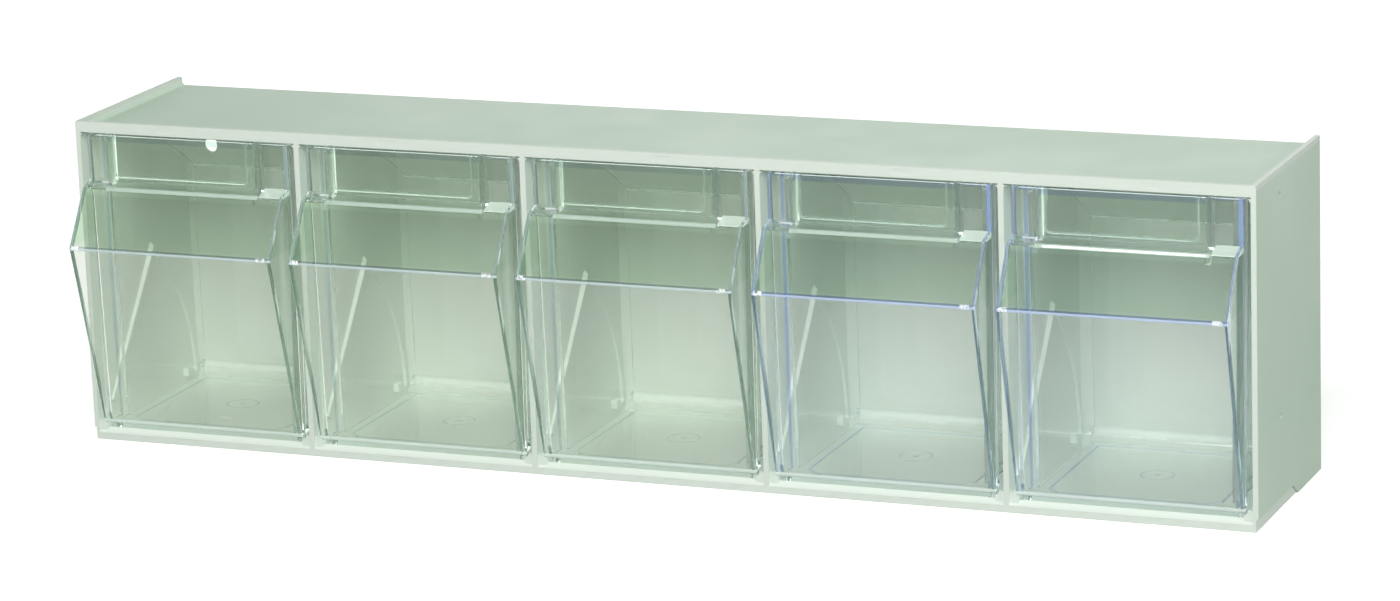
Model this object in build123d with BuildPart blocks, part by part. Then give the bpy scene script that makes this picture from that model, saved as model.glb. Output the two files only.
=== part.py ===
from build123d import *
from math import asin, atan2, cos, degrees, hypot, radians, sin
import os

os.makedirs("parts", exist_ok=True)

# ---------------------------------------------------------------- sizes, mm
# The housing: one moulding, open at the front, standing on its floor.
cab_w = 600.0          # outside width
cab_d = 108.0          # front rails to rear wall
cab_h = 162.0          # outside height, over the side flanges
bin_count = 5
side_t = 2.5           # end panels
divider_t = 2.7        # walls between the bins
floor_t = 2.5
roof_t = 2.2
roof_drop = 4.0        # roof lies this far below the flange tops
back_t = 2.5
rail_t = 2.5           # depth of the two front rails
top_rail_h = 5.3
low_rail_h = 3.5       # upright part, then a 45 degree bevel
mouth_r = 1.8          # upper corners of each mouth
tray_r = 2.2           # soft feet of the flanges round the roof

# Trunnion axis of every bin, from the front plane and from the ground.
pivot_y = 6.0
pivot_z = 6.0
open_angle = 45.0      # travel from closed to fully tipped

# Trunnions, ears and their snap-in sockets.
pin_r = 2.5
pin_clear = 0.08       # radial running clearance
pin_end_gap = 0.3      # pin end to divider
ear_r = 3.2
ear_front = 2.0        # flat front of the ear, ahead of the axis
ear_up = 3.0           # ear runs this far up the bin's side
socket_w = 3.0         # socket block, across
socket_back = 6.0      # socket block behind the axis
socket_cap = 1.0       # material over the bore
snap_w = 4.4           # entry slot, narrower than the pin
gusset_top = 1.9
gusset_low = 4.5
gusset_set = 1.0       # gusset behind the front plane

# The clear bins.
wall = 2.0
cheek_gap = 3.5        # hopper cheek to divider
under_gap = 3.0        # axis up to the underside of the bin's floor
hopper_out = 25.0      # ridge in front of the rails
rim_gap = 0.4          # rim below the roof
pocket_h = 21.9        # upright wall that carries the label pocket
ledge_rise = 2.4
slant_h = 27.1         # upper slope, ridge to ledge
pocket_out = 7.5
pocket_side = 13.4     # cheek to label pocket
pocket_draft = 0.5
pocket_rise = 1.7      # pocket rim over the side rim
rail_clear = 0.6       # raised rim to the top rail
pocket_step = 3.3      # pocket floor over its foot
label_side = 4.9       # pocket side to label recess
label_up = 5.4         # pocket foot to label recess
label_deep = 0.6
label_r = 3.0
recess_slope = 40.0    # degrees, sides of the shallow recesses
toe_in = 1.0           # foot of the hopper in front of the rails
cheek_deep = 1.5       # cheeks reach this far behind the front plane
front_deep = 11.5      # wide front part, behind the front plane
front_draft = 2.5
body_step = 4.9        # rear body narrower than the cheeks, each side
body_draft = 1.7
plumb_h = 11.0         # sides stand plumb this far up, then lean out by the draft
back_gap = 8.5         # bin to rear wall, at the top
back_draft = 1.5
swing_gap = 4.8        # rear rim's circle below the roof
heel_r = 7.5           # rear bottom edge
side_cut = 1.6         # lower and rear side edges, bevelled
nose_r = 1.5
ridge_r = 2.2
cheek_cut = 0.7        # bevel round the cheeks
pocket_r = 1.2         # upright corners of the label pocket
panel_side = 6.3       # floor panel in from the bin's sides
panel_front = 3.3
panel_back = 11.0
panel_cut = 6.0
panel_deep = 0.7

# Stops: a round tab on each side of a bin, a rib above and a ledge below it.
tab_r = 2.4
tab_inset = 3.8        # from the rear wall's foot
tab_up = 7.0           # from the underside
tab_end_gap = 0.6      # tab end to divider
stop_clear = 0.2
stop_t = 2.5
stop_len = 82.0
stop_h = 2.6
stop_h_low = 1.2
arc_gap = 6.4          # tab to guide arc
arc_t = 2.4
arc_h = 1.4
arc_start = 2.0        # degrees above the axis
rest_gap = 0.2
rest_w = 5.5
rest_h = 4.0
rest_deep = 3.0

# Openings and marks of the housing.
screw_r = 2.0          # holes through each end panel
screw_back = 38.4
screw_top = 13.0       # upper hole below the flange tops
screw_pitch = 104.3
hang_r = 4.0           # holes in the rear wall
hang_side = 18.0
hang_top = 34.0        # below the flange tops
plinth_h = 5.9         # shallow recess low on each end
plinth_deep = 1.0
plinth_top_len = 58.4
plinth_low_len = 67.5
mark_w = 9.0
mark_h = 2.6
mark_deep = 0.2
mark_off = 11.5

# ------------------------------------------------------------ derived places
front = (hopper_out - cab_d) / 2            # front plane, so the box is centred
slot_w = (cab_w - 2 * side_t - (bin_count - 1) * divider_t) / bin_count
pitch = slot_w + divider_t
half_slot = slot_w / 2
bin_x = [(i - (bin_count - 1) / 2) * pitch for i in range(bin_count)]
roof_top = cab_h - roof_drop
roof_low = roof_top - roof_t
back_in = cab_d - back_t

cheek = half_slot - cheek_gap               # half width over the cheeks
base_z = pivot_z + under_gap
rim_z = roof_low - rim_gap
ledge_z = rim_z - pocket_h
slant_z = ledge_z - ledge_rise
ridge_z = slant_z - slant_h
body = cheek - body_step                    # half width of the rear body
back_y = back_in - back_gap
swing_r = roof_low - swing_gap - pivot_z
tab_y = back_y - back_draft - tab_inset
tab_z = base_z + tab_up
tab_reach = hypot(tab_y - pivot_y, tab_z - pivot_z)
tab_angle = degrees(atan2(tab_z - pivot_z, tab_y - pivot_y))
stop_angle = tab_angle + open_angle + degrees(asin((tab_r + stop_t / 2 + stop_clear) / tab_reach))
arc_r = tab_reach + tab_r + arc_gap


def side_plane(x):
    """Upright plane across the bins: local x runs to the rear, local y up."""
    return Plane(origin=(x, front, 0), x_dir=(0, 1, 0), z_dir=(1, 0, 0))


def level_plane(z):
    """Level plane whose local y starts at the front rails."""
    return Plane(origin=(0, front, z), x_dir=(1, 0, 0), z_dir=(0, 0, 1))


def front_plane(y):
    """Upright plane facing the user: local x to the right, local y up."""
    return Plane(origin=(0, front + y, 0), x_dir=(1, 0, 0), z_dir=(0, -1, 0))


# ------------------------------------------------------------- one clear bin
def hopper(inset, top):
    """Wide front of a bin as a solid; inset makes the cavity inside its walls."""
    half = cheek - inset
    with BuildPart() as solid:
        with BuildSketch(side_plane(-half)) as profile:
            with BuildLine():
                Polyline(
                    (front_deep, base_z),
                    (-toe_in, base_z),
                    (-hopper_out, ridge_z),
                    (-pocket_out, slant_z),
                    (0, ledge_z),
                    (0, top),
                    (front_deep, top),
                    close=True,
                )
            make_face()
            if inset > 0:
                offset(amount=-inset, kind=Kind.INTERSECTION)
            else:
                corners = profile.vertices()
                fillet(corners.sort_by(Axis.X)[0], ridge_r)
                fillet(profile.vertices().group_by(Axis.Y)[0].sort_by(Axis.X)[0], nose_r)
        extrude(amount=2 * half)
        if inset == 0:
            # Cheeks run over into the front in a narrow bevel.
            faces = solid.faces().filter_by(Axis.X)
            rim = faces.edges().filter_by(
                lambda e: e.center().Y < front + front_deep - 0.1 and e.center().Z < top - 0.1
            )
            chamfer(rim, cheek_cut)
        # Behind the cheeks the sides lean in towards the floor.
        with BuildSketch(front_plane(cheek_deep - inset)):
            with BuildLine():
                Polyline(
                    (half, rim_z),
                    (half - front_draft, base_z),
                    (half - front_draft, base_z - 1),
                    (half + 1, base_z - 1),
                    (half + 1, rim_z),
                    close=True,
                )
            make_face()
            mirror(about=Plane.YZ)
        extrude(amount=-front_deep, mode=Mode.SUBTRACT)
    return solid.part


def tub(inset, top):
    """Narrower rear body of a bin; inset makes the cavity inside its walls."""
    foot_y = back_y - back_draft
    half = body - inset
    foot = half - body_draft
    with BuildPart() as solid:
        with BuildSketch(front_plane(wall + inset)):
            with BuildLine():
                Polyline(
                    (-foot, base_z + inset),
                    (foot, base_z + inset),
                    (foot, base_z + plumb_h),
                    (half, rim_z),
                    (half, top),
                    (-half, top),
                    (-half, rim_z),
                    (-foot, base_z + plumb_h),
                    close=True,
                )
            make_face()
        extrude(amount=-cab_d)
        with BuildSketch(side_plane(-body)):
            with BuildLine():
                Polyline(
                    (0, base_z + inset),
                    (foot_y - inset, base_z + inset),
                    (back_y - inset, rim_z),
                    (back_y - inset, top),
                    (0, top),
                    close=True,
                )
            make_face()
            fillet(
                [v for v in vertices() if abs(v.X - foot_y + inset) < 0.01 and v.Y < base_z + inset + 1],
                heel_r - inset,
            )
            if inset == 0:
                with Locations((pivot_y, pivot_z)):
                    Circle(swing_r, mode=Mode.INTERSECT)
        extrude(amount=2 * body, mode=Mode.INTERSECT)
        if inset == 0:
            sides = solid.faces().filter_by(lambda f: abs(f.normal_at().X) > 0.9)
            lower = sides.edges().filter_by(
                lambda e: e.center().Y > front + wall + 1
                and (e.center().Z < base_z + heel_r or e.center().Y > front + foot_y - 0.5)
                and e.center().Z < rim_z - 5
            )
            chamfer(lower, side_cut)
    return solid.part


def pocket(inset):
    """Label pocket standing out of the upright wall; inset makes its inside."""
    half = cheek - pocket_side - inset
    with BuildPart() as solid:
        if inset == 0:
            with BuildSketch(level_plane(slant_z - pocket_step)) as outline:
                with BuildLine():
                    Polyline(
                        (half - pocket_draft, -pocket_out),
                        (half, 0),
                        (half, wall / 2),
                        (-half, wall / 2),
                        (-half, 0),
                        (-half + pocket_draft, -pocket_out),
                        close=True,
                    )
                make_face()
                fillet(outline.vertices().group_by(Axis.Y)[0], pocket_r)
            extrude(amount=rim_z + pocket_rise - slant_z + pocket_step)
            # Its rim drops where it would meet the top rail.
            with BuildSketch(side_plane(-half)):
                with Locations((-rail_clear, rim_z)):
                    Rectangle(pocket_out, pocket_out, align=(Align.MIN, Align.MIN))
            extrude(amount=2 * half, mode=Mode.SUBTRACT)
        else:
            with BuildSketch(side_plane(-half)):
                with BuildLine():
                    Polyline(
                        (inset - pocket_out, rim_z + 2 * pocket_rise),
                        (inset - pocket_out, slant_z + pocket_step),
                        (2 * inset - pocket_out, slant_z + pocket_step),
                        (2 * inset - pocket_out, slant_z - pocket_step),
                        (2 * inset, slant_z - pocket_step),
                        (2 * inset, rim_z + 2 * pocket_rise),
                        close=True,
                    )
                make_face()
            extrude(amount=2 * half)
    return solid.part


outer_hopper = hopper(0, rim_z)
outer_tub = tub(0, cab_h)
outer_pocket = pocket(0)
inner_hopper = hopper(wall, rim_z + 2 * wall)
inner_tub = tub(wall, cab_h)
inner_pocket = pocket(wall)

with BuildPart() as bin_shape:
    add(outer_tub)
    add(outer_hopper)
    add(outer_pocket)
    # Ears under the wide front carry the trunnion pins.
    ear_out = cheek - front_draft
    with BuildSketch(side_plane(ear_out - wall)):
        with Locations((pivot_y, pivot_z)):
            Circle(ear_r)
        with BuildLine():
            Polyline(
                (pivot_y - ear_front, pivot_z),
                (pivot_y - ear_front, base_z + ear_up),
                (pivot_y + ear_r, base_z + ear_up),
                (pivot_y + ear_r, pivot_z),
                close=True,
            )
        make_face()
    ear = extrude(amount=wall)
    with BuildSketch(side_plane(ear_out)):
        with Locations((pivot_y, pivot_z)):
            Circle(pin_r)
    pin = extrude(amount=half_slot - pin_end_gap - ear_out)
    # Round stop tabs low on the sides of the rear body.
    with BuildSketch(side_plane(body - body_draft - wall / 2)):
        with Locations((tab_y, tab_z)):
            Circle(tab_r)
    tab = extrude(amount=half_slot - tab_end_gap - body + body_draft + wall / 2)
    mirror(objects=[ear, pin, tab], about=Plane.YZ)
    add(inner_tub, mode=Mode.SUBTRACT)
    add(inner_hopper, mode=Mode.SUBTRACT)
    add(inner_pocket, mode=Mode.SUBTRACT)
    # Sunk label field, open at the rim.
    with BuildSketch(front_plane(-pocket_out)) as field:
        label_half = cheek - pocket_side - label_side
        with Locations((0, slant_z + label_up)):
            Rectangle(2 * label_half, cab_h - slant_z, align=(Align.CENTER, Align.MIN))
        fillet(field.vertices().group_by(Axis.Y)[0], label_r)
    extrude(amount=-label_deep, taper=recess_slope, mode=Mode.SUBTRACT)
    # Floor panel, sunk from below.
    with BuildSketch(level_plane(base_z)) as panel:
        panel_half = body - body_draft - panel_side
        panel_end = back_y - back_draft - panel_back
        with Locations((0, panel_front)):
            Rectangle(2 * panel_half, panel_end - panel_front, align=(Align.CENTER, Align.MIN))
        chamfer(panel.vertices().group_by(Axis.Y)[0], panel_cut)
    extrude(amount=panel_deep, taper=recess_slope, mode=Mode.SUBTRACT)

for number, x in enumerate(bin_x, start=1):
    with BuildPart() as clear_bin:
        with Locations((x, 0, 0)):
            add(bin_shape.part)
    clear_bin.part.label = f"bin_{number}"
    export_step(clear_bin.part, f"parts/bin_{number}.step")

# --------------------------------------------- fittings inside one bin's slot
with BuildPart() as fittings:
    # Guide arc, concentric with the trunnions.
    with BuildSketch(side_plane(half_slot - arc_h)):
        with BuildLine():
            sweep_angle = stop_angle + degrees(stop_t / 2 / arc_r) - arc_start
            inner = CenterArc((pivot_y, pivot_z), arc_r, arc_start, sweep_angle)
            outer = CenterArc((pivot_y, pivot_z), arc_r + arc_t, arc_start, sweep_angle)
            Line(inner @ 0, outer @ 0)
            Line(inner @ 1, outer @ 1)
        make_face()
    extrude(amount=arc_h + divider_t / 4)
    # Opening stop: a rib along a radius, rising towards the arc.
    along = Vector(0, cos(radians(stop_angle)), sin(radians(stop_angle)))
    across = Vector(0, -sin(radians(stop_angle)), cos(radians(stop_angle)))
    rib_plane = Plane(
        origin=Vector(half_slot, front + pivot_y, pivot_z) - across * (stop_t / 2),
        x_dir=along,
        z_dir=across,
    )
    with BuildSketch(rib_plane):
        with BuildLine():
            sink = divider_t / 4
            Polyline(
                (arc_r - stop_len, -sink),
                (arc_r + arc_t / 2, -sink),
                (arc_r + arc_t / 2, stop_h),
                (arc_r - stop_len, stop_h_low),
                close=True,
            )
        make_face()
    extrude(amount=stop_t)
    # Rest ledge under the tab of the closed bin.
    with BuildSketch(side_plane(half_slot - rest_deep)):
        with Locations((tab_y, tab_z - tab_r - rest_gap)):
            Rectangle(rest_w, rest_h, align=(Align.CENTER, Align.MAX))
    extrude(amount=rest_deep + divider_t / 4)
    # Socket block with its bore and its snap-in slot.
    bore_r = pin_r + pin_clear
    block_top = pivot_z + bore_r + socket_cap
    block_end = pivot_y + socket_back
    with BuildSketch(side_plane(half_slot - socket_w)):
        with BuildLine():
            Polyline(
                (rail_t / 2, floor_t / 2),
                (rail_t / 2, low_rail_h),
                (rail_t, low_rail_h + rail_t / 2),
                (rail_t, block_top),
                (block_end, block_top),
                (block_end, floor_t / 2),
                close=True,
            )
        make_face()
        with Locations((pivot_y, pivot_z)):
            Circle(bore_r, mode=Mode.SUBTRACT)
            Rectangle(snap_w, cab_h, align=(Align.CENTER, Align.MIN), mode=Mode.SUBTRACT)
    extrude(amount=socket_w + divider_t / 4)
    with BuildSketch(front_plane(gusset_set)):
        with BuildLine():
            Polyline(
                (half_slot + divider_t / 4, low_rail_h),
                (half_slot - gusset_low, low_rail_h),
                (half_slot - gusset_low, block_top - gusset_low + gusset_top),
                (half_slot - gusset_top, block_top),
                (half_slot + divider_t / 4, block_top),
                close=True,
            )
        make_face()
    extrude(amount=gusset_set - rail_t)
    mirror(about=Plane.YZ)

# ------------------------------------------------------------------- housing
with BuildPart() as cabinet:
    with BuildSketch(level_plane(0)):
        Rectangle(cab_w, cab_d, align=(Align.CENTER, Align.MIN))
    extrude(amount=cab_h)
    # Tray over the roof, open to the rear.
    with BuildSketch(level_plane(roof_top)):
        with Locations((0, rail_t)):
            Rectangle(cab_w - 2 * side_t, cab_d, align=(Align.CENTER, Align.MIN))
    extrude(amount=roof_drop, mode=Mode.SUBTRACT)
    # Slots for the bins, with rounded upper corners.
    with BuildSketch(front_plane(back_in)):
        with Locations(*[(x, floor_t) for x in bin_x]):
            Rectangle(slot_w, roof_low - floor_t, align=(Align.CENTER, Align.MIN))
        fillet(vertices().group_by(Axis.Y)[-1], mouth_r)
    extrude(amount=back_in, mode=Mode.SUBTRACT)
    # The mouths reach a little higher than the roof.
    with BuildSketch(front_plane(rail_t)):
        with Locations(*[(x, roof_low) for x in bin_x]):
            Rectangle(slot_w, cab_h - top_rail_h - roof_low, align=(Align.CENTER, Align.MIN))
    extrude(amount=rail_t, mode=Mode.SUBTRACT)
    # Bottom rail with a bevelled edge.
    with BuildSketch(side_plane(-cab_w / 2)):
        with BuildLine():
            Polyline(
                (0, 0),
                (rail_t, 0),
                (rail_t, low_rail_h + rail_t),
                (0, low_rail_h),
                close=True,
            )
        make_face()
    extrude(amount=cab_w)
    with Locations(*[(x, 0, 0) for x in bin_x]):
        add(fittings.part)
    tray_feet = cabinet.edges().filter_by(
        lambda e: abs(e.center().Z - roof_top) < 0.01 and e.center().Y < front + cab_d - 1
    )
    fillet(tray_feet, tray_r)
    # Screw holes through the end panels.
    screw_high = cab_h - screw_top
    for side in (-1, 1):
        with BuildSketch(side_plane(side * cab_w / 2)):
            with Locations((screw_back, screw_high), (screw_back, screw_high - screw_pitch)):
                Circle(screw_r)
        extrude(amount=-side * 2 * side_t, mode=Mode.SUBTRACT)
        # Shallow recess along the foot of each end panel.
        with BuildSketch(side_plane(side * cab_w / 2)):
            with BuildLine():
                Polyline(
                    (0, 0),
                    (plinth_low_len, 0),
                    (plinth_top_len, plinth_h),
                    (0, plinth_h),
                    close=True,
                )
            make_face()
        extrude(amount=-side * plinth_deep, mode=Mode.SUBTRACT)
    # Hanging holes in the rear wall.
    with BuildSketch(front_plane(cab_d)):
        with Locations(*[(side * (cab_w / 2 - hang_side), cab_h - hang_top) for side in (-1, 1)]):
            Circle(hang_r)
    extrude(amount=back_t, mode=Mode.SUBTRACT)
    # Witness marks on both rails, beside the middle of each mouth.
    mark_rows = (low_rail_h / 2, cab_h - top_rail_h / 2)
    with BuildSketch(front_plane(0)):
        with Locations(*[(x + mark_off * (1 if x > -1 else -1), z) for x in bin_x for z in mark_rows]):
            Rectangle(mark_w, mark_h)
    extrude(amount=-mark_deep, mode=Mode.SUBTRACT)

cabinet.part.label = "cabinet"
export_step(cabinet.part, "parts/cabinet.step")
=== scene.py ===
import bpy
import math
import numpy as np
from mathutils import Matrix, Vector


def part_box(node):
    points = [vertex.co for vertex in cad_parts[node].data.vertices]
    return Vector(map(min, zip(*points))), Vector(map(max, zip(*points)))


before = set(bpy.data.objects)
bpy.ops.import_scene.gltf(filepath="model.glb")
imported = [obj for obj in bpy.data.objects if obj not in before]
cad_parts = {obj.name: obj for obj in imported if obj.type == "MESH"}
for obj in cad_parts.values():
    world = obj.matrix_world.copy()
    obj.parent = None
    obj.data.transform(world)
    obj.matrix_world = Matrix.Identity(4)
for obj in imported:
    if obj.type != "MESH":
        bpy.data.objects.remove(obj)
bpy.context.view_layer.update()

# The camera stands at the photograph's angle.
cameraValues = {
    "place": (0.911, -2.1665, 0.678),  # metres, in the part's frame
    "azimuth": -22.54,                 # degrees, turned to the left from looking along +Y
    "elevation": -14.29,               # looking down
    "roll": -2.03,
    "focalPixels": 5045.0,             # for an image 1400 pixels wide
    "imageWidth": 1400.0,
    "sensor": 36.0,                    # millimetres
    "clip": (0.05, 50.0),
}


# The camera's axes: the view direction from azimuth and elevation, then a turn by roll about it.
def makeCamera(v):
    az, el, roll = (math.radians(v[k]) for k in ("azimuth", "elevation", "roll"))
    forward = Vector((math.sin(az) * math.cos(el), math.cos(az) * math.cos(el), math.sin(el)))
    right = Vector((math.cos(az), -math.sin(az), 0.0))
    up = right.cross(forward)
    rightRolled = math.cos(roll) * right + math.sin(roll) * up
    upRolled = -math.sin(roll) * right + math.cos(roll) * up
    turn = Matrix((rightRolled, upRolled, -forward)).transposed().to_4x4()
    data = bpy.data.cameras.new("photoCamera")
    data.sensor_fit = "HORIZONTAL"
    data.sensor_width = v["sensor"]
    data.lens = v["focalPixels"] / v["imageWidth"] * v["sensor"]
    data.clip_start, data.clip_end = v["clip"]
    camera = bpy.data.objects.new("photoCamera", data)
    camera.matrix_world = Matrix.Translation(v["place"]) @ turn
    bpy.context.scene.collection.objects.link(camera)
    bpy.context.scene.camera = camera


makeCamera(cameraValues)

# Clear walls seen edge-on need long light paths, or they turn black.
lightPaths = {
    "max_bounces": 32,
    "transmission_bounces": 32,
    "glossy_bounces": 12,
    "transparent_max_bounces": 64,
}
for key, value in lightPaths.items():
    setattr(bpy.context.scene.cycles, key, value)
print("camera placed")


bandFade = 0.00025                         # metres over which a band ends


class Wire:                                # one output socket, with arithmetic
    def __init__(self, graph, socket):
        self.graph = graph
        self.socket = socket

    # One Math node: this wire first, then the others.
    def maths(self, operation, *others):
        return self.graph.add("ShaderNodeMath", {"operation": operation}, self, *others)

    def __add__(self, other):
        return self.maths("ADD", other)

    def __radd__(self, other):
        return self.maths("ADD", other)

    def __sub__(self, other):
        return self.maths("SUBTRACT", other)

    def __rsub__(self, other):
        return self.graph.add("ShaderNodeMath", {"operation": "SUBTRACT"}, other, self)

    def __mul__(self, other):
        return self.maths("MULTIPLY", other)

    def __rmul__(self, other):
        return self.maths("MULTIPLY", other)

    def __abs__(self):
        return self.maths("ABSOLUTE")

    # The larger of the two.
    def atLeast(self, other):
        return self.maths("MAXIMUM", other)

    # The smaller of the two.
    def atMost(self, other):
        return self.maths("MINIMUM", other)

    # Distance made by two lengths at right angles: the root of the sum of their squares.
    def distance(self, other):
        return (self * self + other * other).maths("SQRT")

    # 0 below low, 1 above high, smooth between.
    def between(self, low, high):
        return self.graph.add(
            "ShaderNodeMapRange", {"interpolation_type": "SMOOTHSTEP", "clamp": True},
            **{"Value": self, "From Min": low, "From Max": high, "To Min": 0.0, "To Max": 1.0})

    # 0 before the edge and 1 past it, with half of the rise on each side of it.
    def past(self, edge):
        return self.between(edge - bandFade, edge + bandFade)

    # 0 up to the edge, and 1 soon after it.
    def after(self, edge):
        return self.between(edge, edge + bandFade)

    # 1 from low to high, falling to 0 outside both.
    def band(self, low, high, fade=bandFade):
        return self.between(low - fade, low) * (1 - self.between(high, high + fade))


class Graph:                               # the nodes of one material, or of the world
    def __init__(self, owner):
        owner.use_nodes = True
        self.owner = owner
        self.tree = owner.node_tree
        self.tree.nodes.clear()

    # Adds a node: its settings first, then the values or links of its sockets, by place or by name.
    def add(self, kind, settings=None, *values, output=0, places=None, **named):
        node = self.tree.nodes.new(kind)
        for key, value in (settings or {}).items():
            setattr(node, key, value)
        for key, value in [*enumerate(values), *(places or {}).items(), *named.items()]:
            socket = node.inputs[key]
            if isinstance(value, Wire):
                self.tree.links.new(value.socket, socket)
            else:
                socket.default_value = value
        return Wire(self, node.outputs[output]) if node.outputs else None

    # From the first colour to the second by the factor. The Mix node numbers its colour sockets so.
    def mixColour(self, factor, first, second):
        return self.add("ShaderNodeMix", {"data_type": "RGBA"}, output=2,
                        places={0: factor, 6: first, 7: second})

    # From the first shader to the second by the factor.
    def mixShader(self, factor, first, second):
        return self.add("ShaderNodeMixShader", {}, factor, first, second)

    # The spot's own coordinates in metres, which move with its piece.
    def place(self):
        return self.add("ShaderNodeTexCoord", output="Object")

    # One of those coordinates.
    def axis(self, letter):
        return self.add("ShaderNodeSeparateXYZ", {}, self.place(), output=letter)

    # Fractal noise on those coordinates, stretched and shifted.
    def noise(self, scale, detail, roughness, stretch=(1.0, 1.0, 1.0), shift=(0.0, 0.0, 0.0)):
        spot = self.add("ShaderNodeMapping", {}, Vector=self.place(), Scale=stretch, Location=shift)
        return self.add(
            "ShaderNodeTexNoise", {}, Vector=spot, Scale=scale, Detail=detail, Roughness=roughness)

    # One answer about the ray that meets the surface.
    def ray(self, question):
        return self.add("ShaderNodeLightPath", output=question)

    # 1 for what the camera sees, directly, in gloss or through clear plastic.
    def seen(self):
        return self.ray("Is Camera Ray").atLeast(self.ray("Is Glossy Ray")).atLeast(
            self.ray("Is Transmission Ray"))

    # A relief in metres, as a normal.
    def bump(self, height):
        return self.add("ShaderNodeBump", {}, Strength=1.0, Distance=1.0, Height=height)

    # Joins the output node to what it shows.
    def finish(self, kind="ShaderNodeOutputMaterial", **shaders):
        self.add(kind, {}, **shaders)
        return self.owner


# The housing's plastic. Each noise has its scale per metre, detail, roughness and stretch or shift.
housingValues = {
    "colour": (0.672, 0.744, 0.672, 1.0),
    "paler": (0.712, 0.780, 0.712, 1.0),
    "palerShares": (0.6, 0.3, 0.15),           # how far drift, cloud and streaks lead to the paler tone
    "outer": (0.505, 0.624, 0.524, 1.0),       # painted shade: the outer faces darker and greener than the inside
    "outerSide": (0.2992, 0.2998),             # half width where the end panels' outer faces start
    "outerTop": (0.1574, 0.1578),              # z where the roof's face starts
    "outerDrift": 0.3,                         # the drift's share in how green they are
    "rim": (0.650, 0.708, 0.646, 1.0),         # painted sheen: the front rims and flange tops read paler
    "rimFront": (-0.0412, -0.0402),            # y of the front rims, where the paler tone ends
    "rimTop": (0.1592, 0.1598),                # z of the flange tops
    "roughLow": 0.50,
    "roughHigh": 0.66,
    "ior": 1.5,
    "gloss": 0.12,
    "drift": {"scale": 7.0, "detail": 2.0, "roughness": 0.5, "shift": (3.0, 1.0, 2.0)},
    "driftSpan": (0.3, 0.7),
    "cloud": {"scale": 42.0, "detail": 3.0, "roughness": 0.55},
    "streaks": {"scale": 60.0, "detail": 4.0, "roughness": 0.6, "stretch": (0.25, 1.0, 0.25)},
    "streakSpan": (0.55, 0.8),
    "grain": {"scale": 2600.0, "detail": 2.0, "roughness": 0.6},   # fine eroded mould texture
    "grainDepth": 0.000012,
    "wave": {"scale": 26.0, "detail": 1.0, "roughness": 0.4, "stretch": (0.6, 1.0, 1.0)},
    "waveDepth": 0.00010,
}


# Colour: a slow drift between two tones with cloud and faint rubbed streaks, with painted shade that makes
# the outer faces darker and greener and a painted sheen that makes the rims paler. Bump: fine grain plus a
# long, low wave of the moulded sheet.
def makeHousingPlastic(v):
    g = Graph(bpy.data.materials.new("housingPlastic"))
    drift = g.noise(**v["drift"]).between(*v["driftSpan"])
    cloud = g.noise(**v["cloud"])
    streaks = g.noise(**v["streaks"]).between(*v["streakSpan"])
    driftShare, cloudShare, streakShare = v["palerShares"]
    paler = drift * driftShare + cloud * cloudShare + streaks * streakShare
    colour = g.mixColour(paler, v["colour"], v["paler"])
    x, y, z = (g.axis(letter) for letter in "XYZ")
    # Painted shade: the end panels' outer faces and the roof are darker and greener.
    shadedOuterFaces = abs(x).between(*v["outerSide"]).atLeast(z.between(*v["outerTop"]))
    colour = g.mixColour(shadedOuterFaces * (1 - drift * v["outerDrift"]), colour, v["outer"])
    # Painted sheen: the front rims and the flange tops are paler and greyer, as they catch the front light.
    rim = (1 - y.between(*v["rimFront"])).atLeast(z.between(*v["rimTop"]))
    colour = g.mixColour(rim, colour, v["rim"])
    rough = cloud * (v["roughHigh"] - v["roughLow"]) + v["roughLow"]
    height = g.noise(**v["grain"]) * v["grainDepth"] + g.noise(**v["wave"]) * v["waveDepth"]
    surface = g.add(
        "ShaderNodeBsdfPrincipled", {},
        **{"Base Color": colour, "Roughness": rough, "Normal": g.bump(height),
           "IOR": v["ior"], "Specular IOR Level": v["gloss"]})
    return g.finish(Surface=surface)


# Where a bin shows its edges, in metres: half widths from its middle, and y and z of the part.
hopperEdges = {
    "middle": 0.001,                           # left turns to right over this
    "front": -0.0410,                          # y where the bin leaves the housing
    "cheek": (0.0533, 0.0545, 0.00015),        # a cheek's thickness seen from its front, and its fade
    "cheekFace": (0.0547, 0.0548),             # a cheek's outer face
    "ridge": (0.1030, 0.1040, 0.1049),         # z of the rolled ridge: lower edge, middle, upper edge
    "ridgeFront": -0.0652,
    "slope": (0.1036, 0.1056),                 # z where the slope above the ridge starts
    "step": (0.0500, 0.0516, -0.0321, -0.0297),  # wall between cheek and rear body: x, then y
    "stepFade": 0.75,                          # how much of its painted dark line is lost on the right
    "rim": (0.1540, 0.1546),
}


# Bands of the hopper: each is 1 along one moulded line and 0 elsewhere, a product of steps in x, y and z.
def hopperBands(x, y, z, v):
    across = abs(x)
    ahead = 1 - y.past(v["front"])
    right = x.between(-v["middle"], v["middle"])
    low, middle, high = v["ridge"]
    atRidge = 1 - y.past(v["ridgeFront"])
    stepInner, stepOuter, stepFront, stepRear = v["step"]
    step = across.band(stepInner, stepOuter) * y.band(stepFront, stepRear)
    return {
        "ahead": ahead,
        "right": right,
        "under": 1 - z.between(low, middle),
        "cheek": across.band(*v["cheek"]) * ahead,
        "cheekFace": across.between(*v["cheekFace"]) * ahead,
        "ridgeLow": z.band(low, middle) * atRidge,
        "ridgeHigh": z.band(middle, high) * atRidge,
        "slope": z.between(*v["slope"]) * ahead,
        "step": step * (1 - right * v["stepFade"]),
        "rim": z.between(*v["rim"]),
    }


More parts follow.
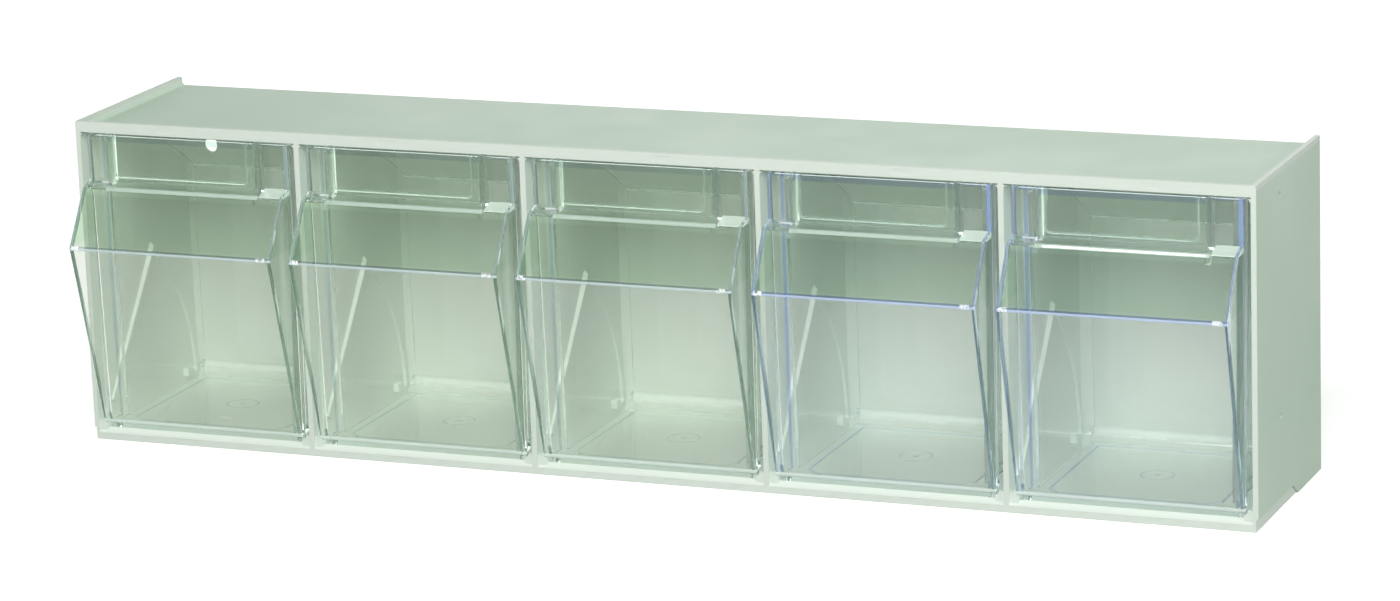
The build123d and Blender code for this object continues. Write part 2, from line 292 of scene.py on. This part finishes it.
pocketEdges = {
    "foot": 0.1275,                            # z where the upright wall with the pocket starts
    "half": 0.0414,
    "side": (0.0396, 0.0417),                  # the pocket's side walls
    "fold": (0.1298, 0.1316, -0.0483),         # where the slope meets the pocket: z, and y it ends at
    "inStep": (0.1338, 0.1350, -0.0476, -0.0444),  # step inside the pocket: z, then y
    "label": (0.0366, 0.1365, 0.0030),         # half width, lower edge, corner radius
    "labelLine": 0.0012,
    "ledge": (0.1308, 0.1338),                 # z of the small ledges beside the pocket
    "ledgeInner": (0.04165, 0.04215),
    "corner": (0.0531, 0.0546, -0.0385),       # upright corner over a ledge: x, and y it ends at
    "cornerShares": (0.45, 0.3),               # shares of the painted dark line: on the left, and what the right adds
}


# Bands of the label pocket. The label's line follows the distance to a rectangle with rounded corners.
def pocketBands(x, y, z, hopper, v):
    across, ahead, right = abs(x), hopper["ahead"], hopper["right"]
    pocketWall = z.past(v["foot"]) * ahead
    foldLow, foldHigh, foldRear = v["fold"]
    fold = z.band(foldLow, foldHigh) * (1 - y.after(foldRear))
    stepLow, stepHigh, stepFront, stepRear = v["inStep"]
    half, low, radius = v["label"]
    sideways = (across - (half - radius)).atLeast(0.0)
    downwards = ((low + radius) - z).atLeast(0.0)
    toLabel = sideways.distance(downwards) - radius
    ledgeLow, ledgeHigh = v["ledge"]
    ledge = z.band(ledgeLow, ledgeHigh) * ahead * across.between(*v["ledgeInner"])
    ledge = ledge * (1 - hopper["cheek"])
    # Painted highlight on the ledge right of the pocket; the left ledge keeps painted shade.
    brightLedge = ledge * right
    over = z.between(ledgeHigh - bandFade, ledgeHigh)
    inner, outer, rear = v["corner"]
    left, more = v["cornerShares"]
    return {
        "pocketWall": pocketWall,
        "pocketSide": across.band(*v["side"]) * pocketWall,
        "fold": fold * (1 - across.after(v["half"])),
        "inStep": z.band(stepLow, stepHigh) * y.band(stepFront, stepRear),
        "label": toLabel.band(-v["labelLine"], 0.0) * pocketWall,
        "brightLedge": brightLedge,
        "ledge": ledge - brightLedge,
        "over": over,
        "corner": across.band(inner, outer) * over * (1 - y.past(rear)) * (left + right * more),
    }


bottomEdges = {
    "top": (0.0120, 0.0130),                   # z over which the bin's bottom ends
    "panel": (0.0420, -0.0382, 0.0430),        # half width, front and rear edge of the sunk panel
    "panelCut": 0.006,                         # its front corners are cut off by this
    "panelLine": 0.0012,
    "nose": (0.0094, 0.0112, -0.0405),         # front edge: z, and y it ends at
    "heel": (0.0150, 0.0162, 0.0022),          # rear edge: z, and its own fade
    "heelFront": 0.0440,                       # y where the rear wall starts
    "gate": (0.0025, 0.0080, 0.0006),          # moulding gate: y of its centre, radius and line width
    "gateDot": (0.0010, 0.0016),
    "gateDotShare": 0.6,
}


# Bands of the bottom. The panel's line follows the distance to a rectangle whose front corners are cut
# at 45 degrees. The gate's ring and dot follow the distance from its centre.
def bottomBands(x, y, z, v):
    across = abs(x)
    bottom = 1 - z.between(*v["top"])
    half, front, rear = v["panel"]
    border = (across - half).atLeast(front - y).atLeast(y - rear)
    cut = (across - y - (half - front - v["panelCut"])) * math.sqrt(0.5)
    noseLow, noseHigh, noseRear = v["nose"]
    centre, radius, line = v["gate"]
    toGate = x.distance(y - centre)
    dot = (1 - toGate.between(*v["gateDot"])) * v["gateDotShare"]
    return {
        "panel": border.atLeast(cut).band(-v["panelLine"], 0.0) * bottom,
        "nose": z.band(noseLow, noseHigh) * (1 - y.past(noseRear)),
        "heel": z.band(*v["heel"]) * y.after(v["heelFront"]),
        "gate": (toGate.band(radius - line, radius) + dot) * bottom,
    }


clearValues = {
    "colour": (0.984, 0.966, 0.950, 1.0),
    "hazed": (0.974, 0.956, 0.940, 1.0),
    "slopeShadeTone": (0.77, 0.87, 0.75, 1.0),      # painted shade: the slope above the ridge is darker and greener
    # Painted shade: the pocket's wall is tinted greener and a little darker.
    "pocketShadeTone": (0.88, 1.0, 0.86, 1.0),
    "cheekTone": (0.88, 0.94, 0.90, 1.0),      # the cheeks' outer faces are tinted a little darker and greener
    "ior": 1.5,
    "gloss": 0.25,
    "rough": 0.008,
    "haze": {"scale": 60.0, "detail": 3.0, "roughness": 0.6},
    "hazeSpan": (0.45, 0.8),
    "hazeRough": 0.015,
    "flow": {"scale": 18.0, "detail": 1.0, "roughness": 0.4, "stretch": (1.0, 1.0, 0.35)},
    "flowDepth": 0.00004,
    "gateDepth": 0.00018,
    "straightTone": (0.98, 0.99, 0.982, 1.0),  # light that passes straight through
    "trapDepth": 3.5,      # light caught inside a wall leaves it straight after so many turns
    # What a long way through each bin's wall does to white, how strongly, and which tones its edges have.
    "tints": {
        "bin_1": ((0.36, 0.60, 0.62, 1.0), 9.0, "green"),
        "bin_2": ((0.36, 0.60, 0.64, 1.0), 9.0, "green"),
        "bin_3": ((0.34, 0.56, 0.70, 1.0), 10.0, "green"),
        "bin_4": ((0.26, 0.44, 0.90, 1.0), 13.0, "blue"),
        "bin_5": ((0.24, 0.42, 0.92, 1.0), 14.0, "blue"),
    },
    # Tones of the edges: the first is the plastic's own blue tint seen along its thickness, deepened with
    # painted refraction of darker surroundings; then a painted highlight, a painted dark refraction, and
    # painted shade seen through the cheeks' edges below the ridge.
    "edgeTones": {
        "green": {
            "edge": (0.50, 0.66, 0.68, 1.0),
            "paleHighlight": (0.58, 0.68, 0.71, 1.0),
            "darkRefraction": (0.22, 0.31, 0.31, 1.0),
            "underRidgeShade": (0.36, 0.49, 0.43, 1.0),
        },
        "blue": {
            "edge": (0.40, 0.54, 0.88, 1.0),
            "paleHighlight": (0.50, 0.58, 0.80, 1.0),
            "darkRefraction": (0.14, 0.26, 0.60, 1.0),
            "underRidgeShade": (0.32, 0.46, 0.62, 1.0),
        },
    },
    # How strongly each band tints what passes through it.
    "tintShares": {"cheek": 1.0, "ridgeLow": 1.0, "step": 1.0, "panel": 0.7, "rim": 0.6},
    "tintMost": 0.85,
    # Share of painted dark refraction on the ridge's upper half.
    "ridgeDarkRefraction": 0.9,
    # How much of each band is covered by an opaque layer lit by the lamps, which carries painted
    # highlights, painted shade and painted dark refraction instead of passing the light.
    "paintedLightShares": {
        "ridgeLow": 0.75, "cheekSlope": 0.22, "step": 0.16, "corner": 1.0, "glint": 1.0,
        "pocketSide": 0.12, "fold": 0.80, "inStep": 0.15, "label": 0.24,
        "brightLedge": 0.85, "ledge": 0.16, "nose": 0.75, "heel": 0.24, "gate": 0.10,
    },
    "paintedLightMost": 0.9,
    "paintedLightRough": 0.32,
    # Tones of that layer: its painted highlight, its painted shade, and a pale painted highlight on the
    # nose and heel.
    "paintedLight": (0.66, 0.76, 0.68, 1.0),
    "paintedShade": (0.34, 0.45, 0.38, 1.0),
    "noseHeelHighlight": (0.86, 0.96, 0.88, 1.0),       # painted highlights along the nose and heel
    # How far the fold's painted shade turns to the painted highlight.
    "foldHighlight": 0.25,
    # Share of painted dark refraction on the step.
    "stepDarkRefraction": 0.7,
    "flatBands": ("pocketSide", "inStep", "ledge"),  # here the wall hardly bends the light
    "flatShare": 0.82,
    # Sparkles at the ridge's ends: their half widths on the left and on the right, and a noise in them.
    "glintLeft": (0.0496, 0.0534),
    "glintRight": (0.0475, 0.0520),
    "glintRightShare": 0.7,
    "glintTone": (0.97, 0.98, 0.99, 1.0),
    "glintNoise": {"scale": 900.0, "detail": 2.0, "roughness": 0.6},
    "glintSpan": (0.38, 0.50),
}


# The sum of some bands, each times its share, and not more than the limit.
def weighted(bands, shares, limit=1.0):
    return sum(bands[key] * share for key, share in shares.items()).atMost(limit)


# Refraction with a slight flow wave and absorption; shadow and diffuse rays pass straight, so light gets
# inside. The bands tint what passes, or cover it with painted highlights, painted shade and painted dark
# refraction.
def makeClearPlastic(name, v):
    absorbed, density, family = v["tints"][name]
    tones = v["edgeTones"][family]
    g = Graph(bpy.data.materials.new("clearPlastic_" + name))
    low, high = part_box(name)
    x = g.axis("X") - (low[0] + high[0]) / 2   # from the bin's own middle
    y, z = g.axis("Y"), g.axis("Z")
    bands = hopperBands(x, y, z, hopperEdges)
    bands |= pocketBands(x, y, z, bands, pocketEdges)
    bands |= bottomBands(x, y, z, bottomEdges)

    across, right = abs(x), bands["right"]
    glintLeft = (1 - right) * across.band(*v["glintLeft"])
    glintRight = right * across.band(*v["glintRight"]) * v["glintRightShare"]
    glint = (glintLeft + glintRight) * (bands["ridgeLow"] + bands["ridgeHigh"])
    bands["glint"] = glint * g.noise(**v["glintNoise"]).between(*v["glintSpan"])
    bands["cheekSlope"] = bands["cheek"] * (1 - bands["under"]) * (1 - bands["over"])

    haze = g.noise(**v["haze"]).between(*v["hazeSpan"])
    colour = g.mixColour(haze, v["colour"], v["hazed"])
    # Painted shade: the slope above the ridge is darker and greener, as the inside behind it is in shade.
    colour = g.mixColour(bands["slope"], colour, v["slopeShadeTone"])
    # Painted shade: the pocket's wall greener and a little darker.
    colour = g.mixColour(bands["pocketWall"], colour, v["pocketShadeTone"])
    colour = g.mixColour(bands["cheekFace"], colour, v["cheekTone"])
    # The plastic's blue tint along its edges, deepened with painted refraction of darker surroundings.
    colour = g.mixColour(weighted(bands, v["tintShares"]) * v["tintMost"], colour, tones["edge"])
    # Painted dark refraction on the ridge's upper half.
    colour = g.mixColour(bands["ridgeHigh"] * v["ridgeDarkRefraction"], colour, tones["darkRefraction"])
    # Painted shade seen through the cheeks' edges below the ridge.
    colour = g.mixColour(bands["cheek"] * bands["under"], colour, tones["underRidgeShade"])
    normal = g.bump(g.noise(**v["flow"]) * v["flowDepth"] + bands["gate"] * v["gateDepth"])
    clear = g.add(
        "ShaderNodeBsdfPrincipled", {},
        **{"Base Color": colour, "Roughness": haze * v["hazeRough"] + v["rough"], "Normal": normal,
           "IOR": v["ior"], "Specular IOR Level": v["gloss"], "Transmission Weight": 1.0})

    # Painted light on the bands: painted shade by default, a painted highlight on the right-hand ledges and
    # a little on the fold, pale painted highlights along the cheeks, ridge and step, painted dark
    # refraction on the step and corners, painted highlights along the nose and heel, and painted sparkles
    # at the ridge's ends.
    lit = g.mixColour(
        weighted(bands, {"brightLedge": 1.0, "fold": v["foldHighlight"]}), v["paintedShade"], v["paintedLight"])
    lit = g.mixColour(
        weighted(bands, {"cheek": 1.0, "ridgeLow": 1.0, "ridgeHigh": 1.0, "step": 1.0}), lit, tones["paleHighlight"])
    lit = g.mixColour(weighted(bands, {"step": v["stepDarkRefraction"], "corner": 1.0}), lit, tones["darkRefraction"])
    lit = g.mixColour(weighted(bands, {"nose": 1.0, "heel": 1.0}), lit, v["noseHeelHighlight"])
    lit = g.mixColour(bands["glint"], lit, v["glintTone"])
    paintedLight = g.add(
        "ShaderNodeBsdfPrincipled", {},
        **{"Base Color": lit, "Roughness": v["paintedLightRough"], "Normal": normal, "IOR": v["ior"]})

    straight = g.add("ShaderNodeBsdfTransparent", {}, Color=v["straightTone"])
    flat = weighted(bands, dict.fromkeys(v["flatBands"], 1.0)) * v["flatShare"]
    body = g.mixShader(flat, clear, straight)
    # The painted layer replaces the clear wall on the bands, by their shares.
    body = g.mixShader(weighted(bands, v["paintedLightShares"], v["paintedLightMost"]), body, paintedLight)
    trapped = g.ray("Ray Depth").maths("GREATER_THAN", v["trapDepth"])
    passing = g.ray("Is Shadow Ray").atLeast(g.ray("Is Diffuse Ray")).atLeast(trapped)
    return g.finish(
        Surface=g.mixShader(passing, body, straight),
        Volume=g.add("ShaderNodeVolumeAbsorption", {}, Color=absorbed, Density=density))


# Gives every face of a node one material.
def dress(name, material):
    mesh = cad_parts[name].data
    mesh.materials.clear()
    mesh.materials.append(material)


dress("cabinet", makeHousingPlastic(housingValues))
for name in sorted(clearValues["tints"]):
    dress(name, makeClearPlastic(name, clearValues))
print("materials assigned")

floorValues = {
    "size": 12.0,
    "cells": 8,
    "drop": 0.0002,                            # just under the part's feet
    "colour": (0.80, 0.80, 0.80, 1.0),
    "shade": (0.35, 0.35, 0.35, 1.0),          # what the part's own surfaces get back from it
    "near": (0.58, 0.58, 0.58, 1.0),           # its own glow, round the object and far away
    "far": (1.0, 1.0, 1.0, 1.0),
    "fade": (0.55, 1.70),                      # distance from the middle, metres
}


# A flat grid of points, x and y spread evenly over the floor's square. The paper glows, and is plain
# white further out.
def makeFloor(v):
    cells = v["cells"]
    steps = np.linspace(-0.5, 0.5, cells + 1) * v["size"]
    x, y = np.meshgrid(steps, steps, indexing="ij")
    points = np.stack([x, y, np.full_like(x, -v["drop"])], axis=-1).reshape(-1, 3)
    first = np.arange(cells)[:, None] * (cells + 1) + np.arange(cells)[None, :]
    corners = [first, first + cells + 1, first + cells + 2, first + 1]
    mesh = bpy.data.meshes.new("floor")
    mesh.from_pydata(points.tolist(), [], np.stack(corners, axis=-1).reshape(-1, 4).tolist())
    mesh.update()
    floor = bpy.data.objects.new("floor", mesh)
    bpy.context.scene.collection.objects.link(floor)
    g = Graph(bpy.data.materials.new("floorPaper"))
    near, far = (g.add("ShaderNodeEmission", {}, Color=v[key], Strength=1.0) for key in ("near", "far"))
    away = g.axis("X").distance(g.axis("Y")).between(*v["fade"])
    paper = g.add("ShaderNodeBsdfDiffuse", {}, Color=v["colour"])
    lit = g.add("ShaderNodeAddShader", {}, paper, g.mixShader(away, near, far))
    shade = g.add("ShaderNodeBsdfDiffuse", {}, Color=v["shade"])
    mesh.materials.append(g.finish(Surface=g.mixShader(g.seen(), shade, lit)))


worldValues = {
    "ambient": 0.15,
    "ambientTone": (0.80, 1.0, 0.78, 1.0),     # weak light from all round
    "backdrop": (1.0, 1.0, 1.0, 1.0),
}


# White where it is seen, and a weak even light elsewhere.
def makeWorld(v):
    world = bpy.data.worlds.new("studio")
    bpy.context.scene.world = world
    g = Graph(world)
    light = g.add("ShaderNodeBackground", {}, Color=v["ambientTone"], Strength=v["ambient"])
    backdrop = g.add("ShaderNodeBackground", {}, Color=v["backdrop"], Strength=1.0)
    g.finish("ShaderNodeOutputWorld", Surface=g.mixShader(g.seen(), light, backdrop))


lampValues = {
    "aim": (0.0, 0.0, 0.08),                   # the part's middle
    "lamps": [                                 # name, place, width, height, watts
        ("keySoft", (0.42, -1.60, 1.55), 1.2, 0.9, 36.0),
        ("fillSoft", (1.10, -2.00, 0.90), 1.2, 0.9, 11.0),
        ("rightSoft", (1.95, -0.55, 0.42), 1.0, 1.0, 14.0),
        ("leftSoft", (-1.80, -1.00, 0.55), 1.0, 1.0, 8.5),
        ("rearSoft", (-0.40, 2.00, 0.28), 1.4, 0.8, 20.0),
    ],
}


# Soft rectangular lamps, all turned to the part.
def makeLamps(v):
    aim = Vector(v["aim"])
    for name, place, width, height, watts in v["lamps"]:
        data = bpy.data.lights.new(name, "AREA")
        data.shape = "RECTANGLE"
        data.size = width
        data.size_y = height
        data.energy = watts
        lamp = bpy.data.objects.new(name, data)
        lamp.location = place
        lamp.rotation_euler = (aim - Vector(place)).to_track_quat("-Z", "Y").to_euler()
        bpy.context.scene.collection.objects.link(lamp)


makeFloor(floorValues)
makeWorld(worldValues)
makeLamps(lampValues)
bpy.context.scene.view_settings.view_transform = "Standard"
print("studio ready")
